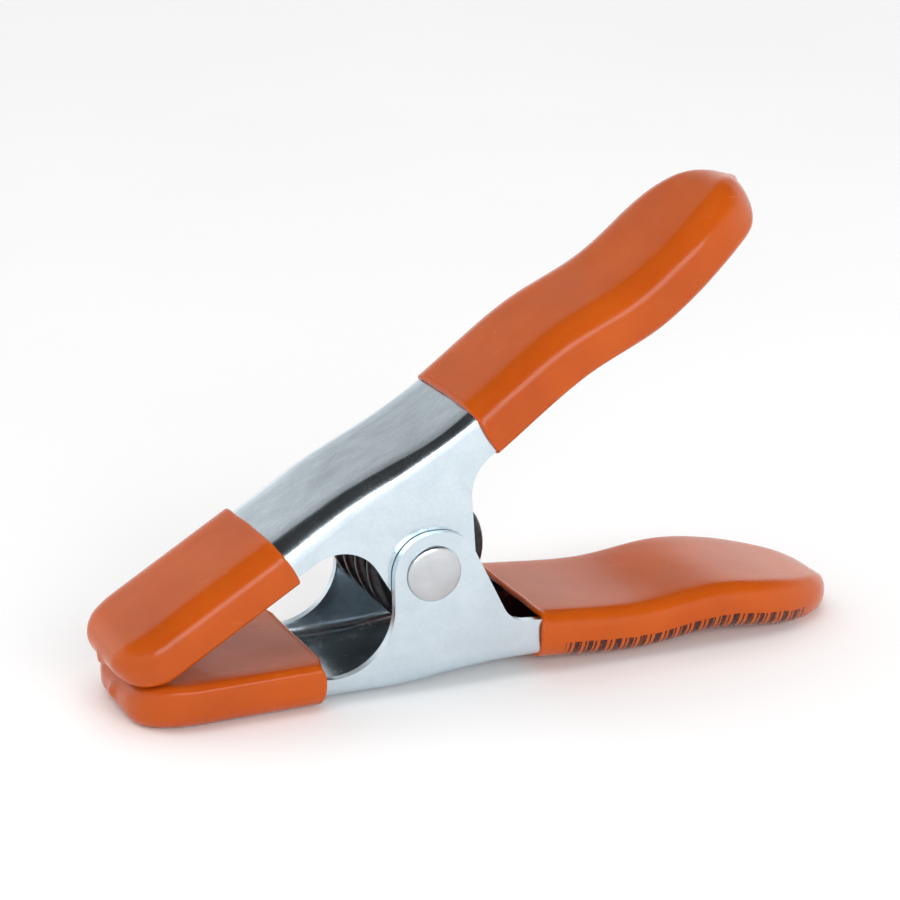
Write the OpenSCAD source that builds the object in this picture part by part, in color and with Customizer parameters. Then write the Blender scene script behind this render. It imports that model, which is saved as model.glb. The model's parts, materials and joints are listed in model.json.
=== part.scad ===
/* [Steel levers] */
// Outside width of the lower lever, whose ears lie outside
lower_w = 32; // [28:0.5:40]
// Outside width of the upper lever, whose ears nest inside
upper_w = 28.3; // [24:0.1:28.6]
// Thickness of the steel sheet
sheet_t = 1.6; // [1.2:0.1:2]
// Outside radius of the folded edges
bend_r = 3.6; // [2.5:0.1:4.5]
// Depth of the side walls along the jaws
jaw_depth = 7.2; // [6:0.1:9]
// Depth of the side walls along the lower handle
lower_depth = 8.2; // [7:0.1:10]
// Depth of the side walls along the upper handle
upper_depth = 9.2; // [7:0.1:10]
// Distance from the pivot down to the back of the jaw
pivot_drop = 23.8; // [20:0.1:27]
// Distance from the pivot to the steel tip of the jaw
jaw_reach = 60; // [50:1:75]
// Distance from the pivot to the steel end of the handle
handle_reach = 97; // [96:1:110]

/* [Ears and rivet] */
// Radius of the lower lever's ears round the rivet
lower_ear_r = 8.3; // [7:0.1:10]
// Radius of the upper lever's ears round the rivet
upper_ear_r = 8.8; // [7:0.1:10]
// Slope of the ears' edges down to the handles, in degrees
ear_slope = 63.5; // [55:0.5:75]
// Diameter of the rivet's shank
rivet_d = 8; // [5:0.1:9]
// Diameter of the rivet's two heads
rivet_head_d = 11.4; // [10:0.1:14]
// Thickness of the rivet's two heads
rivet_head_h = 1.3; // [0.8:0.1:2]
// Radial clearance of the turning upper ears on the rivet
rivet_fit = 0.06; // [0.02:0.01:0.1]

/* [Spring] */
// Diameter of the spring wire
wire_d = 3.4; // [2.5:0.1:4]
// Mean diameter of the coil
coil_d = 23; // [16:0.1:26]
// Whole turns of the coil, to which the legs add about a third of a turn
coil_turns = 3; // [2:1:4]
// Length of each straight leg along its handle
leg_len = 34; // [20:1:40]

/* [Vinyl covers] */
// Wall thickness of the jaw covers
jaw_wall = 1.1; // [0.8:0.1:2]
// Wall thickness of the handle grips
grip_wall = 1.1; // [0.8:0.1:2]
// Distance from the pivot to the mouths of the jaw covers
jaw_mouth = 22.8; // [20:0.1:30]
// Distance from the pivot to the mouths of the handle grips
grip_mouth = 23.6; // [22:0.1:30]

/* [Pose] */
// Angle between the two levers when the jaws are shut
shut_angle = 31; // [25:0.1:40]
// Gap left between the two soft jaw tips when they are shut
tip_gap = 0.2; // [0.1:0.1:1]

/* [Hidden] */
$fn = 96;

steel = [0.72, 0.77, 0.82];
bright_steel = [0.82, 0.83, 0.84];
black_steel = [0.13, 0.13, 0.15];
vinyl = [0.83, 0.36, 0.14];

// Both levers share one side view: X runs from the jaw tip to the handle end, the pivot is at 0,
// the back of the lever is at the bottom and its open side faces up.
jaw_z = -pivot_drop;
hump_z = jaw_z + 2.3;
finger_z = jaw_z + 0.2;
waist_z = jaw_z + 1.6;
end_z = jaw_z - 1.2;
// Corners of the back between the jaw and the end of the handle
back_line = [
    [-jaw_reach, jaw_z], [-11, jaw_z], [-4, jaw_z + 0.4], [10, hump_z - 0.2], [19, hump_z - 0.1],
    [32, hump_z - 1.2], [44, finger_z], [52, finger_z + 0.1], [61, waist_z], [68, waist_z - 0.1],
    [76, waist_z - 1], [84, end_z], [handle_reach, end_z]
];
jaw_corner_r = 8;

// Scallop that leaves the throat behind the jaws, each [centre x, centre z, radius]
lower_scallop = [-20.6, -6.6, 12.4];
upper_scallop = [-18.2, -7.2, 9.4];
// Length of the flat on top of an ear, and height of its foot above the back
ear_land = 1.3;
ear_foot = 5;
lower_fillet = 6;
upper_fillet = 9;
// Length of a cut that passes right through, and the overlap of cuts that follow each other
through = 3 * lower_w;
overlap = 0.4;
// Width of the bevel that stands for a fold, in fold radii
blunting = 0.6;
// How far a lever's hollow runs on past its open edges
lever_opening = 12;
// Radius of the drip left at the end of each soft cover, and how deep its centre sits
drip_r = 2;
drip_in = 1;
// Radius of the domed faces of the rivet's heads
dome_r = 30;

function heading(p, q) = atan2(q[1] - p[1], q[0] - p[0]);
function reversed(list) = [for (i = [len(list) - 1 : -1 : 0]) list[i]];
function at_x(p, q, x) = p + (q - p) * (x - p[0]) / (q[0] - p[0]);
// A line moved sideways by d towards the open side, with mitred corners
function offset_line(line, d) = [
    for (i = [0 : len(line) - 1])
        let (
            before = i == 0 ? heading(line[0], line[1]) : heading(line[i - 1], line[i]),
            after = i == len(line) - 1 ? before : heading(line[i], line[i + 1]),
            middle = (before + after) / 2
        )
        line[i] + d / cos((after - before) / 2) * [-sin(middle), cos(middle)]
];
// The stretch of a line to the right of x
function from_x(line, x) = [
    for (i = [0 : len(line) - 2])
        if (line[i + 1][0] > x) line[i][0] < x ? at_x(line[i], line[i + 1], x) : line[i],
    line[len(line) - 1]
];

// Places a side view at the middle of the lever, w thick
module side_slab(w) {
    translate([0, w / 2, 0]) rotate([90, 0, 0]) linear_extrude(w) children();
}

module hole_across(centre, r) {
    translate([centre[0], through / 2, centre[1]]) rotate([90, 0, 0]) cylinder(through, r, r);
}

// Plan view from the jaw's rounded corners to the handle's full round end
module plan_view(w, jaw_x, handle_x, corner_r) {
    translate([handle_x - w / 2, 0]) circle(w / 2);
    translate([jaw_x + corner_r, -w / 2]) square([handle_x - jaw_x - w / 2 - corner_r, w]);
    translate([jaw_x, -w / 2 + corner_r]) square([2 * corner_r, w - 2 * corner_r]);
    for (side = [-1, 1]) translate([jaw_x + corner_r, side * (w / 2 - corner_r)]) circle(corner_r);
}

// What is cut off a square edge at [0, 0] to blunt it
module edge_waste(r) {
    flat = blunting * r;
    polygon([[-flat - 1, -1], [1, -1], [1, flat + 1]]);
}

// Waste along both folds of the back
module fold_waste(line, w, r) {
    for (i = [0 : len(line) - 2], side = [0, 1])
        translate([line[i][0], 0, line[i][1]])
            rotate([0, -heading(line[i], line[i + 1]), 0])
                translate([-overlap, 0, 0])
                    rotate([90, 0, 90])
                        linear_extrude(norm(line[i + 1] - line[i]) + 2 * overlap)
                            mirror([side, 0]) translate([w / 2, 0]) edge_waste(r);
}

// Waste round the corners of the jaw and across its tip
module jaw_fold_waste(w, jaw_x, z, corner_r, r) {
    reach = w / 2 - corner_r;
    for (side = [0, 1])
        mirror([0, side, 0])
            translate([jaw_x + corner_r, reach, z])
                rotate([0, 0, 90])
                    rotate_extrude(angle = 90) translate([corner_r, 0]) edge_waste(r);
    translate([jaw_x, reach, z])
        rotate([90, 0, 0])
            linear_extrude(2 * reach) mirror([1, 0]) edge_waste(r);
}

module handle_fold_waste(w, handle_x, z, r) {
    translate([handle_x - w / 2, 0, z])
        rotate([0, 0, -90])
            rotate_extrude(angle = 180) translate([w / 2, 0]) edge_waste(r);
}

// Side view between the back and the open edges, grown by d at the back and by open_d at the open side
module lever_side(depth, d, open_d) {
    back = offset_line(back_line, -d);
    jaw_edge = jaw_z + jaw_depth + open_d;
    body_edge = from_x(offset_line(back_line, depth + open_d), lower_scallop[0]);
    difference() {
        polygon(concat(
            [[-jaw_reach - d, jaw_z - d]], back, [[handle_reach + d, end_z - d]],
            [[handle_reach + d, end_z + depth + open_d]], reversed(body_edge),
            [[lower_scallop[0], jaw_edge], [-jaw_reach - d, jaw_edge]]
        ));
        // The tips are cut back to the plane midway between the two shut jaws
        rotate(shut_angle / 2)
            translate([-through, -tip_gap / 2 - jaw_wall + d])
                square([through - jaw_mouth, through]);
    }
}

// The filled shape of a lever, inset or grown all round by d
module lever_body(w, depth, d, open_d, fold_r = 0) {
    full_w = w + 2 * d;
    difference() {
        intersection() {
            side_slab(full_w) lever_side(depth, d, open_d);
            translate([0, 0, -through])
                linear_extrude(2 * through)
                    plan_view(full_w, -jaw_reach - d, handle_reach + d, jaw_corner_r + d);
        }
        if (fold_r > 0) {
            fold_waste(offset_line(back_line, -d), full_w, fold_r);
            jaw_fold_waste(full_w, -jaw_reach - d, jaw_z - d, jaw_corner_r + d, fold_r);
            handle_fold_waste(full_w, handle_reach + d, end_z - d, fold_r);
        }
    }
}

// Side view of an ear: round over the rivet, straight down to the handle, with a fillet at its foot
module ear_outline(ear_r, edge_z, fillet_r, scallop) {
    normal = [sin(ear_slope), cos(ear_slope)];
    down = [cos(ear_slope), -sin(ear_slope)];
    land = [ear_land, 0];
    // The straight edge starts just inside the round, so that the two cross cleanly
    shoulder = land + (ear_r - 0.05) * normal;
    corner = shoulder + down * (shoulder[1] - edge_z) / sin(ear_slope);
    fillet_len = fillet_r * tan(ear_slope / 2);
    fillet_top = corner - down * fillet_len;
    fillet_end = corner + [fillet_len, 0];
    fillet_centre = fillet_end + [0, fillet_r];
    foot_z = jaw_z + ear_foot;
    difference() {
        union() {
            circle(ear_r);
            translate(land) circle(ear_r);
            translate([0, -ear_r]) square([ear_land, 2 * ear_r]);
            polygon([
                [-ear_r, 0], [-ear_r, scallop[1]], [scallop[0], scallop[1]], [scallop[0], foot_z],
                [fillet_end[0], foot_z + 1.5], fillet_end, fillet_centre, fillet_top,
                shoulder, land, [0, 0]
            ]);
        }
        translate(fillet_centre) circle(fillet_r);
    }
}

module lever(w, depth, ear_r, fillet_r, scallop, hole_r) {
    difference() {
        union() {
            difference() {
                lever_body(w, depth, 0, 0, bend_r);
                lever_body(w, depth, -sheet_t, lever_opening);
            }
            for (side = [-1, 1])
                translate([0, side * (w - sheet_t) / 2, 0])
                    side_slab(sheet_t) ear_outline(ear_r, hump_z + depth, fillet_r, scallop);
        }
        hole_across([scallop[0], scallop[1]], scallop[2]);
        hole_across([0, 0], hole_r);
    }
}

// The little bump that dipping leaves at the end of a soft cover
module drip(x, z) {
    translate([x, 0, z]) sphere(drip_r);
}

module jaw_cover(w) {
    difference() {
        union() {
            intersection() {
                lever_body(w, lower_depth, jaw_wall, jaw_wall, bend_r + jaw_wall);
                translate([-through - jaw_mouth, -through / 2, -through / 2]) cube(through);
            }
            drip(-jaw_reach - jaw_wall + drip_in, jaw_z + jaw_depth / 2);
        }
        lever_body(w, lower_depth, 0, 0, bend_r);
    }
}

module handle_grip(w, depth) {
    difference() {
        union() {
            intersection() {
                lever_body(w, depth, grip_wall, grip_wall, bend_r + grip_wall);
                translate([grip_mouth, -through / 2, -through / 2]) cube(through);
            }
            drip(handle_reach + grip_wall - drip_in, end_z + depth / 2);
        }
        lever_body(w, depth, 0, 0, bend_r);
    }
}

// Half of the rivet, from its middle to one domed head
module rivet_profile() {
    square([rivet_d / 2, lower_w / 2]);
    intersection() {
        translate([0, lower_w / 2]) square([rivet_head_d / 2, rivet_head_h]);
        translate([0, lower_w / 2 + rivet_head_h - dome_r]) circle(dome_r);
    }
}

module rivet() {
    rotate([90, 0, 0])
        for (side = [0, 1])
            mirror([0, 0, side]) rotate_extrude() rivet_profile();
}

// The wire is followed from the end of the lower leg, forward round the coil, to the end of the upper leg
coil_r = coil_d / 2;
coil_offset = 1.9;
coil_centre = coil_offset * [cos(shut_angle / 2), sin(shut_angle / 2)];
coil_half = upper_w / 2 - sheet_t - wire_d / 2 - 0.4;
leg_slope = 14.6;
first_angle = -90 - leg_slope;
swept_angle = 360 * coil_turns + 180 - shut_angle - 2 * leg_slope;
coil_steps = 24 * (coil_turns + 1);
wire_sides = 8;

function coil_angle(t) = first_angle - swept_angle * t;
function coil_point(t) = [
    coil_centre[0] + coil_r * cos(coil_angle(t)),
    -coil_half + 2 * coil_half * t,
    coil_centre[1] + coil_r * sin(coil_angle(t))
];
function outward(t) = [cos(coil_angle(t)), 0, sin(coil_angle(t))];
// One ring of the wire round a point, across the direction that is square to radial and to the Y axis
function wire_ring(p, radial) = [
    for (k = [0 : wire_sides - 1])
        let (a = 360 * k / wire_sides)
        p + wire_d / 2 * (cos(a) * radial + sin(a) * [0, 1, 0])
];
lower_leg_end = coil_point(0) + leg_len * [cos(leg_slope), 0, -sin(leg_slope)];
upper_leg_end = coil_point(1) + leg_len * [cos(shut_angle + leg_slope), 0, sin(shut_angle + leg_slope)];

module spring() {
    rings = concat(
        [wire_ring(lower_leg_end, outward(0))],
        [for (i = [0 : coil_steps]) wire_ring(coil_point(i / coil_steps), outward(i / coil_steps))],
        [wire_ring(upper_leg_end, outward(1))]
    );
    n = len(rings);
    points = [for (ring = rings) each ring];
    sides = [
        for (i = [0 : n - 2], k = [0 : wire_sides - 1])
            let (next = (k + 1) % wire_sides, a = i * wire_sides, b = a + wire_sides)
            each [[a + k, a + next, b + k], [a + next, b + next, b + k]]
    ];
    first_cap = [for (k = [wire_sides - 1 : -1 : 0]) k];
    last_cap = [for (k = [0 : wire_sides - 1]) (n - 1) * wire_sides + k];
    polyhedron(points, concat(sides, [first_cap, last_cap]));
}

// The floor is the line that touches the lower jaw cover's tip and the lower grip near its end
jaw_touch = [-jaw_reach - jaw_wall + blunting * (bend_r + jaw_wall), jaw_z - jaw_wall];
end_touch = offset_line(back_line, -grip_wall)[len(back_line) - 2];
rest_tilt = -heading(jaw_touch, end_touch);
pivot_height = -jaw_touch[0] * sin(rest_tilt) - jaw_touch[1] * cos(rest_tilt);
// The clamp reaches from the upper jaw cover's blunted tip to the drip on the lower grip
upper_tip = [jaw_touch[1] + blunting * (bend_r + jaw_wall), -jaw_reach - jaw_wall];
front_x = upper_tip[1] * cos(shut_angle) + upper_tip[0] * sin(shut_angle);
clamp_middle = (front_x + handle_reach + grip_wall + drip_r - drip_in) / 2;

module on_floor() {
    translate([-clamp_middle, 0, pivot_height]) rotate([0, -rest_tilt, 0]) children();
}

module in_upper_place() {
    on_floor() rotate([0, -shut_angle, 0]) mirror([0, 0, 1]) children();
}

module lower_lever() {
    color(steel) on_floor()
        lever(lower_w, lower_depth, lower_ear_r, lower_fillet, lower_scallop, rivet_d / 2);
}

module upper_lever() {
    color(steel) in_upper_place()
        lever(upper_w, upper_depth, upper_ear_r, upper_fillet, upper_scallop, rivet_d / 2 + rivet_fit);
}

module pivot_rivet() { color(bright_steel) on_floor() rivet(); }

module torsion_spring() { color(black_steel) on_floor() spring(); }

module lower_jaw_cover() { color(vinyl) on_floor() jaw_cover(lower_w); }

module upper_jaw_cover() { color(vinyl) in_upper_place() jaw_cover(upper_w); }

module lower_handle_grip() { color(vinyl) on_floor() handle_grip(lower_w, lower_depth); }

module upper_handle_grip() { color(vinyl) in_upper_place() handle_grip(upper_w, upper_depth); }

lower_lever();
upper_lever();
pivot_rivet();
torsion_spring();
lower_jaw_cover();
upper_jaw_cover();
lower_handle_grip();
upper_handle_grip();
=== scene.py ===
"""Spring clamp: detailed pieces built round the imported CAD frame, in metres."""

import json
import math

import bmesh
import bpy
import numpy as np
from mathutils import Matrix, Vector


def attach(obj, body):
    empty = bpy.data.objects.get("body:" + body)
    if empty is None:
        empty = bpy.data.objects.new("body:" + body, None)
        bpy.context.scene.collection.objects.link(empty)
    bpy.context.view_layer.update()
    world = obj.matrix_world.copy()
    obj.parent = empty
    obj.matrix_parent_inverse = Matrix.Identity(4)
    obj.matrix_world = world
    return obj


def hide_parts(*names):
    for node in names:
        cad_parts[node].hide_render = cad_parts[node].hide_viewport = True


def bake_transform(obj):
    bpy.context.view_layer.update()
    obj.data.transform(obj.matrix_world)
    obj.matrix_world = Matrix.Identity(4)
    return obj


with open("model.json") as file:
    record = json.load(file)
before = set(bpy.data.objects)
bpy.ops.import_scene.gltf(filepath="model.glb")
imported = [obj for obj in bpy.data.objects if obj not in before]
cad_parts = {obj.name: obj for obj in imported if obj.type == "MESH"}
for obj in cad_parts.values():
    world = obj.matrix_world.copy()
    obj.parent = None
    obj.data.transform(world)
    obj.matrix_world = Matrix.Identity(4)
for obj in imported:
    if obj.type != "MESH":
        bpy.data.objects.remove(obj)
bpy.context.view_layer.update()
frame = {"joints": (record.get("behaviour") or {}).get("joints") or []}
scene = bpy.context.scene
joint = frame["joints"][0]
PIVOT = np.array(joint["pos_m"]) * 1000

# Everything below is in millimetres in the lever's own frame: X runs from the jaw tip to the
# handle end, the pivot is at 0, the back is at the bottom and the open side faces up.
REST_TILT = math.radians(0.4836)
SHUT = math.radians(31.0)
SHEET = 1.6
FOLD = 3.6
JAW_REACH, HANDLE_REACH = 60.0, 97.0
JAW_OPEN = -16.6
LOWER = {"half": 16.0, "depth": 8.2, "ear": 8.3, "fillet": 6.0, "scallop": (-20.6, -6.6, 12.4)}
UPPER = {"half": 14.15, "depth": 9.2, "ear": 8.8, "fillet": 9.0, "scallop": (-18.2, -7.2, 9.4)}
EAR_SLOPE = math.radians(63.5)
EAR_LAND = 1.3
SHANK_R = 4.0
UPPER_HOLE_R = 4.06
# Radius of the two corners of a jaw's plan
JAW_CORNER = 12.5
# How far this steel stops short of the CAD's, out of sight inside the covers
JAW_SHORT, HANDLE_SHORT = 2, 8
BROKEN_EDGE = 0.3
# Soft covers: thickness, where their mouths are, and how far the skin runs in from the mouth
WALL = 1.1
JAW_MOUTH, GRIP_MOUTH = -22.8, 23.6
JAW_SKIN_IN, GRIP_SKIN_IN = 26, 52
# Half of the gap between the shut jaws, which also softens the corner where a cover meets it
JAW_GAP = 0.12
# The drip that dipping leaves on a cover's end: height, width and how far below the middle it hangs
DRIP_RISE, DRIP_WIDTH, GRIP_DRIP_DROP = 0.8, 1.5, 0.8
JAW_BACK = -23.8
# The back of a lever turns at the end of the flat jaw, the hump under the pivot, the hollow for the
# fingers, the waist and the end: x, and the height above the back of the jaw, as in the CAD
BACK_TURNS = ((-10, 0.0), (17, 2.3), (47, 0.2), (65, 1.6), (90, -1.2))


def back(x):
    """Height of the back of a lever: level at each turning point, with a smooth step between two."""
    x = np.asarray(x, float)
    z = np.full(x.shape, JAW_BACK + BACK_TURNS[0][1])
    for (x0, z0), (x1, z1) in zip(BACK_TURNS, BACK_TURNS[1:]):
        t = np.clip((x - x0) / (x1 - x0), 0, 1)
        z = z + (z1 - z0) * t * t * (3 - 2 * t)
    return z


def placed(points, upper=False):
    """Lever frame in millimetres to the row frame in metres."""
    p = np.array(points, float).reshape(-1, 3)
    x, y, z = p[:, 0], p[:, 1], p[:, 2]
    if upper:
        z = -z
        x, z = x * math.cos(SHUT) - z * math.sin(SHUT), x * math.sin(SHUT) + z * math.cos(SHUT)
    x, z = (
        x * math.cos(REST_TILT) - z * math.sin(REST_TILT),
        x * math.sin(REST_TILT) + z * math.cos(REST_TILT),
    )
    return (np.stack([x, y, z], 1) + PIVOT) / 1000


def new_object(name, points, faces, smooth_angle=35, bevel=None):
    mesh = bpy.data.meshes.new(name)
    mesh.from_pydata([tuple(p) for p in points], [], [tuple(f) for f in faces])
    obj = bpy.data.objects.new(name, mesh)
    scene.collection.objects.link(obj)
    tidy_normals(obj)
    finish_surface(obj, smooth_angle, bevel)
    return obj


def tidy_normals(obj):
    bm = bmesh.new()
    bm.from_mesh(obj.data)
    bmesh.ops.remove_doubles(bm, verts=bm.verts, dist=1e-7)
    bmesh.ops.recalc_face_normals(bm, faces=bm.faces)
    bm.to_mesh(obj.data)
    bm.free()


def finish_surface(obj, smooth_angle, bevel):
    for polygon in obj.data.polygons:
        polygon.use_smooth = True
    if bevel:
        mod = obj.modifiers.new("edge", "BEVEL")
        mod.width, mod.segments = bevel / 1000, 3
        mod.limit_method, mod.angle_limit = "ANGLE", math.radians(40)
        mod.harden_normals = True
    obj.data.set_sharp_from_angle(angle=math.radians(smooth_angle if not bevel else 180))


def loft(rings, close_start=True, close_end=True):
    """Points and faces of a skin over rings of the same number of points."""
    n = len(rings[0])
    points = [tuple(p) for ring in rings for p in ring]
    faces = []
    for i in range(len(rings) - 1):
        for k in range(n):
            a, b = i * n + k, i * n + (k + 1) % n
            faces.append((a, b, b + n, a + n))
    if close_start:
        points.append(tuple(np.mean(rings[0], 0)))
        faces += [(len(points) - 1, (k + 1) % n, k) for k in range(n)]
    if close_end:
        last = (len(rings) - 1) * n
        points.append(tuple(np.mean(rings[-1], 0)))
        faces += [(len(points) - 1, last + k, last + (k + 1) % n) for k in range(n)]
    return points, faces


def arc(cx, cz, r, start, end, n):
    """Points of an arc, angles in degrees."""
    t = np.radians(np.linspace(start, end, n))
    return [(cx + r * math.cos(a), cz + r * math.sin(a)) for a in t]


# ---------------------------------------------------------------- steel levers


def fold_radius(x):
    """The fold is wider at the jaw and tighter just before the grip."""
    widening = 1.2 / (1 + math.exp((x + 10) / 5))
    tightening = 1.1 * math.exp(-(((x - 17) / 11) ** 2))
    return FOLD + widening - tightening


def channel_section(x, half, top):
    """The folded sheet's closed section at x: outside and back along the inside."""
    z = float(back(x))
    bend = fold_radius(x)
    inner = bend - SHEET
    outside = [(-half, top)] + arc(-half + bend, z + bend, bend, 180, 270, 9)
    outside += [(y, z) for y in np.linspace(-half + bend, half - bend, 9)[1:-1]]
    outside += arc(half - bend, z + bend, bend, 270, 360, 9) + [(half, top)]
    h, b = half - SHEET, z + SHEET
    inside = [(h, top)] + arc(h - inner, b + inner, inner, 0, -90, 9)
    inside += [(y, b) for y in np.linspace(h - inner, -h + inner, 9)[1:-1]]
    inside += arc(-h + inner, b + inner, inner, -90, -180, 9) + [(-h, top)]
    return [(x, y, zz) for y, zz in outside + inside]


def ear_side_outline(kind):
    """Side view of a lever with its ears, for cutting the channel to shape."""
    r, fillet, (cx, cz, cr) = kind["ear"], kind["fillet"], kind["scallop"]
    edge = float(back(16)) + kind["depth"] + 0.1
    normal = np.array([math.sin(EAR_SLOPE), math.cos(EAR_SLOPE)])
    down = np.array([math.cos(EAR_SLOPE), -math.sin(EAR_SLOPE)])
    shoulder = np.array([EAR_LAND, 0.0]) + r * normal
    corner = shoulder + down * (shoulder[1] - edge) / math.sin(EAR_SLOPE)
    run = fillet * math.tan(EAR_SLOPE / 2)
    end = corner + np.array([run, 0])
    drop = max(JAW_OPEN - cz, -cr)
    left = math.degrees(math.atan2(drop, -math.sqrt(max(cr**2 - drop**2, 0))))
    outline = [(-75, -45), (112, -45)]
    outline += [(x, float(back(x)) + kind["depth"]) for x in np.linspace(112, end[0] + 4, 70)]
    outline += arc(end[0], end[1] + fillet, fillet, 270, 270 - math.degrees(EAR_SLOPE), 14)
    outline += arc(EAR_LAND, 0, r, 90 - math.degrees(EAR_SLOPE), 90, 14)
    outline += arc(0, 0, r, 90, 180, 20)
    outline += arc(cx, cz, cr, 0, left if left < 0 else left - 360, 24)
    outline += [(-75, JAW_OPEN)]
    return outline


def plan_outline(half, front, rear, corner):
    """Plan of a lever: rounded corners at the jaw and a half circle at the handle."""
    points = arc(front + corner, -half + corner, corner, 180, 270, 10)
    points += arc(rear - half, 0, half, -90, 90, 30)
    return points + arc(front + corner, half - corner, corner, 90, 180, 10)


def prism(name, outline, low, high, axis, upper):
    """A cutter: an outline in the side view (axis Y) or in plan (axis Z), drawn out."""
    n = len(outline)
    if axis == "Y":
        points = [(p, low, q) for p, q in outline] + [(p, high, q) for p, q in outline]
    else:
        points = [(p, q, low) for p, q in outline] + [(p, q, high) for p, q in outline]
    faces = [tuple(range(n)), tuple(range(n, 2 * n))]
    faces += [(k, (k + 1) % n, n + (k + 1) % n, n + k) for k in range(n)]
    mesh = bpy.data.meshes.new(name)
    mesh.from_pydata([tuple(p) for p in placed(points, upper)], [], faces)
    obj = bpy.data.objects.new(name, mesh)
    scene.collection.objects.link(obj)
    tidy_normals(obj)
    return obj


def cut(obj, cutter, operation):
    """Apply a boolean of the cutter to the object, and remove the cutter."""
    mod = obj.modifiers.new("cut", "BOOLEAN")
    mod.operation, mod.object, mod.solver = operation, cutter, "EXACT"
    bpy.context.view_layer.update()
    evaluated = obj.evaluated_get(bpy.context.evaluated_depsgraph_get())
    mesh = bpy.data.meshes.new_from_object(evaluated)
    obj.modifiers.remove(mod)
    obj.data = mesh
    bpy.data.objects.remove(cutter)


def lever(name, kind, hole_r, upper):
    """A folded channel, cut to its side view and its plan, with the rivet's hole."""
    half = kind["half"]
    xs = np.concatenate([np.linspace(-61, -14, 20), np.linspace(-12, 34, 47), np.linspace(36, 98, 48)])
    rings = [channel_section(x, half, 12.0) for x in xs]
    n = len(rings[0])
    points, faces = loft(rings, False, False)
    faces += [tuple(range(n - 1, -1, -1)), tuple(range((len(rings) - 1) * n, len(rings) * n))]
    obj = new_object(name, placed(points, upper), faces)
    cut(obj, prism("side", ear_side_outline(kind), -40, 40, "Y", upper), "INTERSECT")
    plan = plan_outline(half, -JAW_REACH + JAW_SHORT, HANDLE_REACH - HANDLE_SHORT, JAW_CORNER)
    cut(obj, prism("plan", plan, -60, 60, "Z", upper), "INTERSECT")
    cut(obj, prism("hole", arc(0, 0, hole_r, 0, 356.25, 96), -40, 40, "Y", upper), "DIFFERENCE")
    tidy_normals(obj)
    finish_surface(obj, 35, BROKEN_EDGE)
    return obj


# ---------------------------------------------------------------- soft covers


def rounded_ring(half, low, high, r_low, r_high):
    """Section of a cover as (y, z): 64 points from the middle of the back, near side first."""
    r_low = max(min(r_low, half * 0.98, (high - low) * 0.55), 0.05)
    r_high = max(min(r_high, half * 0.98, (high - low) * 0.44), 0.05)
    points = [(y, low) for y in np.linspace(0, -half + r_low, 7)[:-1]]
    points += arc(-half + r_low, low + r_low, r_low, 270, 180, 11)
    points += [(-half, z) for z in np.linspace(low + r_low, high - r_high, 5)[1:-1]]
    points += arc(-half + r_high, high - r_high, r_high, 180, 90, 9)
    points += [(y, high) for y in np.linspace(-half + r_high, 0, 7)[1:-1]]
    mirrored = [(-y, z) for y, z in points[1:]][::-1]
    return points + [(0.0, high)] + mirrored


def round_off(distance, run, drop):
    """How far an elliptical rounding, run long and drop deep, has turned in at this distance."""
    u = max(1 - distance / run, 0)
    return drop * (1 - math.sqrt(max(1 - u * u, 0)))


def soft_min(a, b, k):
    return -k * math.log(math.exp(-a / k) + math.exp(-b / k))


# How each cover is shaped, set against the photo:
# back_tip, open_tip: rounding of the back and of the open side at the end, as (run, drop)
# plan: the run of the rounding in plan, how far each side comes in, and the curve's power
# folds: outside radii at the back and at the open side
# lean, corner: slope of the mouth's edge across the cover, and how far its corners are set back
COVERS = {
    "lower_jaw_skin": {
        "back_tip": (4.0, 3.6),
        "open_tip": (3.6, 3.2),
        "plan": (13.0, 11.5, 2.2),
        "folds": (5.2, 1.8),
        "lean": 0.0,
        "corner": 1.3,
    },
    "upper_jaw_skin": {
        "back_tip": (5.4, 4.0),
        "open_tip": (3.4, 3.4),
        "plan": (9.5, 9.2, 2.0),
        "folds": (5.2, 1.6),
        "lean": -0.035,
        "corner": 0.2,
    },
    "lower_grip_skin": {
        "back_tip": (4.6, 3.4),
        "open_tip": (20.0, 6.2),
        "plan": (27.0, 16.7, 2.05),
        "folds": (5.4, 3.4),
        "lean": 0.0,
        "corner": 1.2,
    },
    "upper_grip_skin": {
        "back_tip": (8.0, 5.0),
        "open_tip": (5.5, 5.0),
        "plan": (24.0, 14.9, 2.3),
        "folds": (5.4, 2.4),
        "lean": 0.0,
        "corner": 0.4,
    },
}


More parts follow.
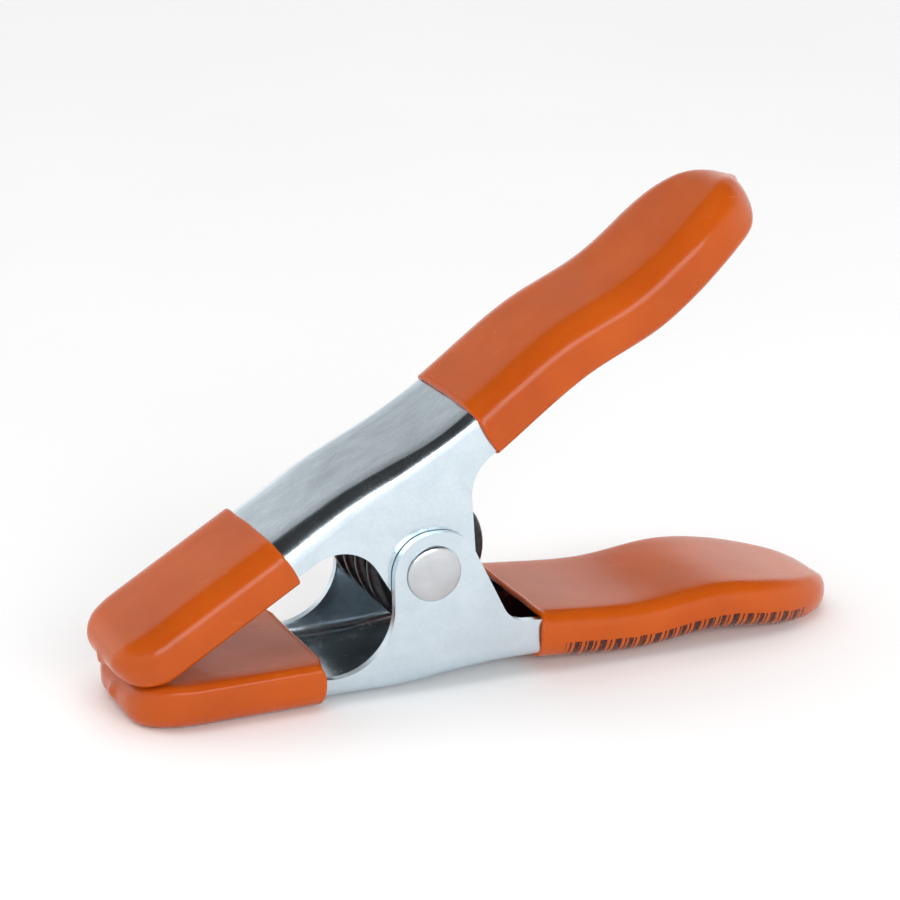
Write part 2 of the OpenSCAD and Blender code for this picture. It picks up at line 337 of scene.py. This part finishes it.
def cover(name, kind, upper, jaw):
    """A dipped skin: inside from deep in to the mouth, over the lip, and outside to the rounded end."""
    half, shape = kind["half"], COVERS[name]
    mouth = JAW_MOUTH if jaw else GRIP_MOUTH
    end = -JAW_REACH - WALL if jaw else HANDLE_REACH + WALL
    sign = -1 if jaw else 1
    depth = JAW_OPEN - JAW_BACK if jaw else kind["depth"]
    fold_r, edge_r = shape["folds"]
    plan_run, plan_in, plan_power = shape["plan"]

    def section(x, grow):
        """The ring at x, grown from the steel by grow."""
        tip = end - sign * (WALL - grow)
        room = abs(tip - x)
        low = float(back(x)) - grow + round_off(room, *shape["back_tip"])
        high = float(back(x)) + depth + grow + (0.2 if grow > 0.3 else 0)
        if jaw:
            high = soft_min(high, x * math.tan(SHUT / 2) - JAW_GAP - (WALL - grow), JAW_GAP)
        high -= round_off(room, *shape["open_tip"])
        turn = max(1 - room / plan_run, 0)
        width = half + grow - plan_in * (1 - max(1 - turn**plan_power, 0) ** (1 / plan_power))
        ring = rounded_ring(width, low, high, fold_r + grow - WALL, edge_r + grow - WALL)
        return [(x, y, z) for y, z in ring]

    def wander(ring, share):
        """The mouth's edge is a little uneven, and set back at its corners, as dipping leaves it."""
        middle = (ring[0][2] + ring[32][2]) / 2
        tall = abs(ring[32][2] - ring[0][2]) / 2
        out = []
        for x, y, z in ring:
            wave = 0.10 * math.sin(y * 0.27 + half) + 0.05 * math.sin(y * 0.71 + z)
            corner = max(0, abs(y) / (half + WALL) - 0.8) / 0.2 * abs((z - middle) / tall) ** 3
            lean = shape["lean"] * y
            out.append((x + share * (wave + lean + sign * shape["corner"] * corner), y, z))
        return out

    rings = []
    deep = mouth + sign * (JAW_SKIN_IN if jaw else GRIP_SKIN_IN)
    for i, x in enumerate(np.linspace(deep, mouth, 22)):
        rings.append(wander(section(x + sign * WALL * 0.5, 0.05), i / 21))
    lip = WALL / 2
    for t in np.linspace(0, math.pi, 9):
        grow = lip + 0.02 - lip * math.cos(t)
        rings.append(wander(section(mouth + sign * (lip - lip * math.sin(t)), grow), 1))
    length = abs(end - mouth)
    straight = np.linspace(0.6, length - 14, 34 if jaw else 90)
    closing = length - 13.4 * np.cos(np.linspace(0, math.pi / 2, 34)) ** 1.6
    for d in np.concatenate([straight, closing]):
        d = min(d, length - 0.004)
        rings.append(wander(section(mouth + sign * d, WALL), max(0, 1 - d / 4)))
    face = np.array(rings[-1])
    centre = face.mean(0)
    for s in (0.93, 0.84, 0.72, 0.6, 0.48, 0.36, 0.24, 0.12):
        rings.append([tuple(p) for p in centre + (face - centre) * s])
    points, faces = loft(rings)
    points = np.array(points)
    low, high = float(back(end)) - WALL, float(back(end)) + depth
    drip_z = (low + high) / 2 - (0 if jaw else GRIP_DRIP_DROP)
    away = np.hypot(points[:, 1], points[:, 2] - drip_z)
    near_end = np.clip((sign * (points[:, 0] - end) + 4) / 4, 0, 1)
    points[:, 0] += sign * DRIP_RISE * np.exp(-((away / DRIP_WIDTH) ** 2)) * near_end
    obj = new_object(name, placed(points, upper), faces, 80)
    # The printed bars are laid out by the place along the lever and the height above its back
    along = obj.data.attributes.new("along", "FLOAT", "POINT")
    around = obj.data.attributes.new("around", "FLOAT", "POINT")
    if len(obj.data.vertices) == len(points):
        along.data.foreach_set("value", points[:, 0].astype(np.float32))
        height = np.where(points[:, 1] < 0, points[:, 2] - back(points[:, 0]), 99)
        around.data.foreach_set("value", height.astype(np.float32))
    return obj


# ---------------------------------------------------------------- rivet and spring


def rivet(name):
    """Shank and two low domed heads, turned about the Y axis."""
    r, flat, rise = 5.7, 16.0, 1.0
    rim = [(SHANK_R, 0.0), (SHANK_R, flat - 0.02)]
    rim += [(r - 0.6, flat + 0.02), (r - 0.2, flat + 0.1), (r, flat + 0.22)]
    for a in np.radians(np.linspace(0, 87.5, 22)):
        rim.append((r * math.cos(a), flat + 0.29 + rise * math.sin(a)))
    profile = [(q, -y) for q, y in rim[:0:-1]] + rim
    rings = []
    for q, y in profile:
        t = np.linspace(0, 2 * math.pi, 96, endpoint=False)
        rings.append([(q * math.cos(a), y, q * math.sin(a)) for a in t])
    points, faces = loft(rings)
    return new_object(name, placed(points), faces, 40)


def spring(name):
    """The wire from the end of the lower leg, round the coil, to the end of the upper leg."""
    wire, coil, turns, leg, slope = 1.7, 11.5, 3, 34.0, math.radians(14.6)
    half = 28.3 / 2 - SHEET - wire - 0.4
    centre = 1.9 * np.array([math.cos(SHUT / 2), math.sin(SHUT / 2)])
    start = -math.pi / 2 - slope
    swept = 2 * math.pi * turns + math.pi - SHUT - 2 * slope
    line, radial = [], []

    def on_coil(t):
        a = start - swept * t
        out = np.array([math.cos(a), 0, math.sin(a)])
        return np.array([centre[0], -half + 2 * half * t, centre[1]]) + coil * out, out

    first, out0 = on_coil(0)
    last, out1 = on_coil(1)
    toward0 = np.array([math.cos(slope), 0, -math.sin(slope)])
    toward1 = np.array([math.cos(SHUT + slope), 0, math.sin(SHUT + slope)])
    for d in (leg, leg - 0.35, leg * 0.6, leg * 0.25):
        line.append(first + toward0 * d)
        radial.append(out0)
    for t in np.linspace(0, 1, 150):
        p, out = on_coil(t)
        line.append(p)
        radial.append(out)
    for d in (leg * 0.25, leg * 0.6, leg - 0.35, leg):
        line.append(last + toward1 * d)
        radial.append(out1)
    rings = []
    for i, (p, out) in enumerate(zip(line, radial)):
        r = wire - 0.35 if i in (0, len(line) - 1) else wire
        ahead = line[min(i + 1, len(line) - 1)] - line[max(i - 1, 0)]
        side = np.cross(ahead / np.linalg.norm(ahead), out)
        t = np.linspace(0, 2 * math.pi, 20, endpoint=False)
        rings.append([tuple(p + r * (math.cos(a) * out + math.sin(a) * side)) for a in t])
    points, faces = loft(rings)
    return new_object(name, placed(points), faces, 40), half


# ---------------------------------------------------------------- materials


class Nodes:
    """Short names for building one material's node tree."""

    def __init__(self, name):
        self.material = bpy.data.materials.new(name)
        self.material.use_nodes = True
        self.tree = self.material.node_tree
        self.shader = self.tree.nodes["Principled BSDF"]
        self.position = self.add("ShaderNodeTexCoord").outputs["Object"]

    def add(self, kind, **values):
        node = self.tree.nodes.new(kind)
        for key, value in values.items():
            setattr(node, key, value)
        return node

    def link(self, a, b):
        self.tree.links.new(a, b)

    def noise(self, scale, detail=4.0, roughness=0.55, stretch=None, distortion=0.0):
        node = self.add("ShaderNodeTexNoise")
        node.inputs["Scale"].default_value = scale
        node.inputs["Detail"].default_value = detail
        node.inputs["Roughness"].default_value = roughness
        node.inputs["Distortion"].default_value = distortion
        source = self.position
        if stretch:
            mapping = self.add("ShaderNodeMapping")
            mapping.inputs["Scale"].default_value = stretch
            self.link(source, mapping.inputs["Vector"])
            source = mapping.outputs["Vector"]
        self.link(source, node.inputs["Vector"])
        return node.outputs["Fac"]

    def ramp(self, value, stops):
        node = self.add("ShaderNodeValToRGB")
        fill_ramp(node.color_ramp, stops)
        self.link(value, node.inputs["Fac"])
        return node.outputs["Color"]

    def math(self, operation, a, b=0.0, c=0.0):
        node = self.add("ShaderNodeMath", operation=operation)
        for i, v in enumerate((a, b, c)):
            if isinstance(v, (int, float)):
                node.inputs[i].default_value = v
            else:
                self.link(v, node.inputs[i])
        return node.outputs[0]

    def mix(self, a, b, factor, blend="MIX"):
        node = self.add("ShaderNodeMix", data_type="RGBA", blend_type=blend)
        for socket, v in ((node.inputs[0], factor), (node.inputs[6], a), (node.inputs[7], b)):
            if isinstance(v, (int, float)):
                socket.default_value = v
            elif isinstance(v, (tuple, list)):
                socket.default_value = as_colour(v)
            else:
                self.link(v, socket)
        return node.outputs[2]

    def bump(self, height, strength, distance, below=None):
        node = self.add("ShaderNodeBump")
        node.inputs["Strength"].default_value = strength
        node.inputs["Distance"].default_value = distance
        self.link(height, node.inputs["Height"])
        if below is not None:
            self.link(below, node.inputs["Normal"])
        return node.outputs["Normal"]


def as_colour(c):
    return (c, c, c, 1.0) if isinstance(c, (int, float)) else (*c[:3], 1.0)


def fill_ramp(ramp, stops):
    """Set a colour ramp from stops given as (position, colour or grey)."""
    first, last = ramp.elements[0], ramp.elements[1]
    first.position, last.position = stops[0][0], stops[-1][0]
    first.color = as_colour(stops[0][1])
    last.color = as_colour(stops[-1][1])
    for place, colour in stops[1:-1]:
        ramp.elements.new(place).color = as_colour(colour)


def zinc_material(name, dark, light, rough, mottle=1.0):
    """Bright zinc plate: cloudy patches, fine mottling, faint rolling lines and rough spots."""
    m = Nodes(name)
    clouds = m.noise(140, 5, 0.6, distortion=0.6)
    speckle = m.noise(1500, 3, 0.6)
    lines = m.noise(900, 3, 0.6, stretch=(0.04, 1.0, 1.0))
    base = m.ramp(clouds, [(0.3, dark), (0.7, light)])
    base = m.mix(base, m.ramp(speckle, [(0.35, 0.80), (0.65, 1.0)]), 0.3 * mottle, "MULTIPLY")
    base = m.mix(base, m.ramp(lines, [(0.35, 0.86), (0.7, 1.0)]), 0.15 * mottle, "MULTIPLY")
    m.link(base, m.shader.inputs["Base Color"])
    patches = m.noise(260, 4, 0.6)
    cloudy = m.math("ADD", patches, m.math("MULTIPLY", speckle, 0.5))
    m.link(m.math("MULTIPLY_ADD", cloudy, 0.2 * mottle, rough), m.shader.inputs["Roughness"])
    m.shader.inputs["Metallic"].default_value = 1.0
    height = m.math("ADD", m.math("MULTIPLY", speckle, 0.5), m.math("MULTIPLY", lines, 0.5))
    dents = m.bump(m.noise(70, 2, 0.5), 0.08, 0.002)
    m.link(m.bump(height, 0.16, 0.00012, dents), m.shader.inputs["Normal"])
    return m.material


def vinyl_material(name, bars=False):
    """Dipped vinyl: even orange with slow thickness changes, soft pits and a wet gloss."""
    m = Nodes(name)
    slow = m.noise(45, 3, 0.5)
    fine = m.noise(1300, 3, 0.6)
    base = m.ramp(slow, [(0.3, (0.40, 0.064, 0.004)), (0.7, (0.49, 0.087, 0.005))])
    scuffs = m.noise(420, 6, 0.7, stretch=(0.3, 1.0, 1.0))
    worn = m.ramp(scuffs, [(0.60, 0.0), (0.74, 1.0)])
    base = m.mix(base, (0.62, 0.15, 0.045), m.math("MULTIPLY", worn, 0.2))
    if bars:
        along = m.add("ShaderNodeAttribute", attribute_name="along").outputs["Fac"]
        around = m.add("ShaderNodeAttribute", attribute_name="around").outputs["Fac"]
        wide = m.math("LESS_THAN", m.math("FRACT", m.math("DIVIDE", along, 3.1)), 0.36)
        thin = m.math("LESS_THAN", m.math("FRACT", m.math("DIVIDE", along, 1.15)), 0.34)
        inside = m.math("MULTIPLY", m.math("GREATER_THAN", along, 29.0), m.math("LESS_THAN", along, 87.0))
        low = m.math("GREATER_THAN", around, -0.9)
        high = m.math("LESS_THAN", around, m.math("MULTIPLY_ADD", m.noise(300, 2), 0.6, 2.9))
        region = m.math("MULTIPLY", inside, m.math("MULTIPLY", low, high))
        ink = m.math("MULTIPLY", m.math("MAXIMUM", wide, thin), region)
        ink = m.math("MULTIPLY", ink, m.ramp(m.noise(2200, 3), [(0.3, 0.55), (0.5, 1.0)]))
        base = m.mix(base, (0.018, 0.007, 0.008), m.math("MULTIPLY", ink, 0.97))
    m.link(base, m.shader.inputs["Base Color"])
    rough = m.math("MULTIPLY_ADD", slow, 0.08, 0.16)
    rough = m.math("ADD", rough, m.math("MULTIPLY", worn, 0.12))
    m.link(rough, m.shader.inputs["Roughness"])
    m.shader.inputs["Subsurface Weight"].default_value = 0.5
    m.shader.inputs["Subsurface Radius"].default_value = (1.0, 0.18, 0.03)
    m.shader.inputs["Subsurface Scale"].default_value = 0.002
    m.shader.inputs["Coat Weight"].default_value = 0.1
    m.shader.inputs["Coat Roughness"].default_value = 0.06
    m.shader.inputs["Specular IOR Level"].default_value = 0.2
    swell = m.bump(m.noise(60, 2, 0.5), 0.10, 0.0025)
    peel = m.bump(m.noise(520, 2, 0.5), 0.10, 0.0002, swell)
    m.link(m.bump(fine, 0.06, 0.00005, peel), m.shader.inputs["Normal"])
    return m.material


def wire_material(name):
    """Oil-black drawn wire with fine die lines and a few rubbed spots."""
    m = Nodes(name)
    mottle = m.noise(700, 4, 0.6)
    rub = m.ramp(m.noise(160, 5, 0.65), [(0.58, 0.0), (0.72, 1.0)])
    base = m.ramp(mottle, [(0.3, (0.012, 0.012, 0.015)), (0.7, (0.035, 0.036, 0.042))])
    base = m.mix(base, (0.16, 0.16, 0.17), m.math("MULTIPLY", rub, 0.35))
    m.link(base, m.shader.inputs["Base Color"])
    m.link(m.math("MULTIPLY_ADD", mottle, 0.2, 0.2), m.shader.inputs["Roughness"])
    m.shader.inputs["Metallic"].default_value = 0.6
    m.link(m.bump(mottle, 0.2, 0.00008), m.shader.inputs["Normal"])
    return m.material


# ---------------------------------------------------------------- the pieces

zinc = zinc_material("zinc_plate", (0.60, 0.69, 0.75), (0.68, 0.77, 0.83), 0.08)
bright = zinc_material("rivet_plate", (0.50, 0.52, 0.54), (0.62, 0.63, 0.65), 0.14, 0.5)
orange = vinyl_material("orange_vinyl")
printed = vinyl_material("orange_vinyl_printed", bars=True)
black_wire = wire_material("black_wire")


def fit(obj, material, body, node):
    """Give a piece its material, the body that it rides on, and the CAD node that it replaces."""
    obj.data.materials.clear()
    obj.data.materials.append(material)
    if body:
        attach(obj, body)
    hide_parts(node)
    return obj


fit(lever("lower_lever_sheet", LOWER, SHANK_R, False), zinc, "lower", "lower_lever")
fit(lever("upper_lever_sheet", UPPER, UPPER_HOLE_R, True), zinc, "upper", "upper_lever")
fit(rivet("rivet_turned"), bright, "lower", "pivot_rivet")
fit(cover("lower_jaw_skin", LOWER, False, True), orange, "lower", "lower_jaw_cover")
fit(cover("upper_jaw_skin", UPPER, True, True), orange, "upper", "upper_jaw_cover")
fit(cover("lower_grip_skin", LOWER, False, False), printed, "lower", "lower_handle_grip")
fit(cover("upper_grip_skin", UPPER, True, False), orange, "upper", "upper_handle_grip")

coil, coil_half = spring("spring_wire")
fit(coil, black_wire, None, "torsion_spring")
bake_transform(coil)

# ---------------------------------------------------------------- studio

FLOOR_HALF = 3.0
mesh = bpy.data.meshes.new("floor")
corners = [(-1, -1), (1, -1), (1, 1), (-1, 1)]
mesh.from_pydata([(FLOOR_HALF * x, FLOOR_HALF * y, 0) for x, y in corners], [], [(0, 1, 2, 3)])
floor = bpy.data.objects.new("floor", mesh)
scene.collection.objects.link(floor)
f = Nodes("floor_paper")
f.link(f.ramp(f.noise(6, 3), [(0.3, 0.94), (0.7, 0.96)]), f.shader.inputs["Base Color"])
f.shader.inputs["Roughness"].default_value = 0.9
mesh.materials.append(f.material)

world = bpy.data.worlds.new("studio")
scene.world = world
world.use_nodes = True
tree = world.node_tree
coords = tree.nodes.new("ShaderNodeTexCoord")
split = tree.nodes.new("ShaderNodeSeparateXYZ")
ramp = tree.nodes.new("ShaderNodeValToRGB")
# Bright below the horizon and dark above it, so that the folds of the steel mirror a dark ceiling
stops = [(0.0, 1.0), (0.36, 0.95), (0.50, 0.42), (0.66, 0.05), (0.85, 0.03), (1.0, 0.05)]
fill_ramp(ramp.color_ramp, stops)
tree.links.new(coords.outputs["Generated"], split.inputs[0])
tree.links.new(split.outputs["Z"], ramp.inputs["Fac"])
tree.links.new(ramp.outputs["Color"], tree.nodes["Background"].inputs["Color"])
tree.nodes["Background"].inputs["Strength"].default_value = 1.25
CLAMP_MIDDLE = (0, 0, 0.04)


def softbox(name, place, width, height, watts, mirrored):
    """A soft rectangular light aimed at the clamp, which shows in the steel or not."""
    light = bpy.data.lights.new(name, "AREA")
    light.shape, light.size, light.size_y, light.energy = "RECTANGLE", width, height, watts
    obj = bpy.data.objects.new(name, light)
    obj.location = place
    obj.rotation_euler = (Vector(CLAMP_MIDDLE) - Vector(place)).to_track_quat("-Z", "Y").to_euler()
    obj.visible_glossy = mirrored
    scene.collection.objects.link(obj)


sky = bpy.data.lights.new("overhead", "SUN")
sky.energy, sky.angle = 1.9, math.radians(80)
overhead = bpy.data.objects.new("overhead", sky)
overhead.rotation_euler = (math.radians(-8), math.radians(-12), 0)
overhead.visible_glossy = False
scene.collection.objects.link(overhead)
softbox("front", (0.1, -1.0, 0.6), width=0.8, height=0.8, watts=2.5, mirrored=False)
softbox("fill", (-0.1, -0.9, 0.42), width=0.9, height=0.25, watts=3.5, mirrored=True)

# ---------------------------------------------------------------- camera

# The photo's view, in millimetres and about the pivot. The angles were measured with the jaw's back
# 0.6 degrees off level, so the camera is turned about Y by that and by the tilt at rest.
AZIMUTH, ELEVATION = math.radians(-24.5), math.radians(19.1)
TURN = math.radians(0.6) + REST_TILT
DISTANCE = 555.0
LENS, SENSOR = 110.7, 36.0
# How far the pivot lies left of the picture's middle, and below it
PIVOT_LEFT, PIVOT_BELOW = 9.75, 19.4


def turned(v):
    """A vector turned about Y by TURN."""
    x, y, z = v
    return np.array([x * math.cos(TURN) - z * math.sin(TURN), y, x * math.sin(TURN) + z * math.cos(TURN)])


level = math.cos(ELEVATION)
away = np.array([math.sin(AZIMUTH) * level, -math.cos(AZIMUTH) * level, math.sin(ELEVATION)])
right = np.array([math.cos(AZIMUTH), math.sin(AZIMUTH), 0.0])
up = np.cross(away, right)
spot = away * DISTANCE + right * PIVOT_LEFT + up * PIVOT_BELOW
away, right, up, spot = turned(away), turned(right), turned(up), turned(spot)
camera = bpy.data.objects.new("camera", bpy.data.cameras.new("camera"))
camera.data.sensor_width = SENSOR
camera.data.lens = LENS
camera.data.clip_start = 0.01
rows = [[right[i], up[i], away[i], (spot[i] + PIVOT[i]) / 1000] for i in range(3)]
camera.matrix_world = Matrix(rows + [[0, 0, 0, 1]])
scene.collection.objects.link(camera)
scene.camera = camera
scene.view_settings.view_transform = "Standard"
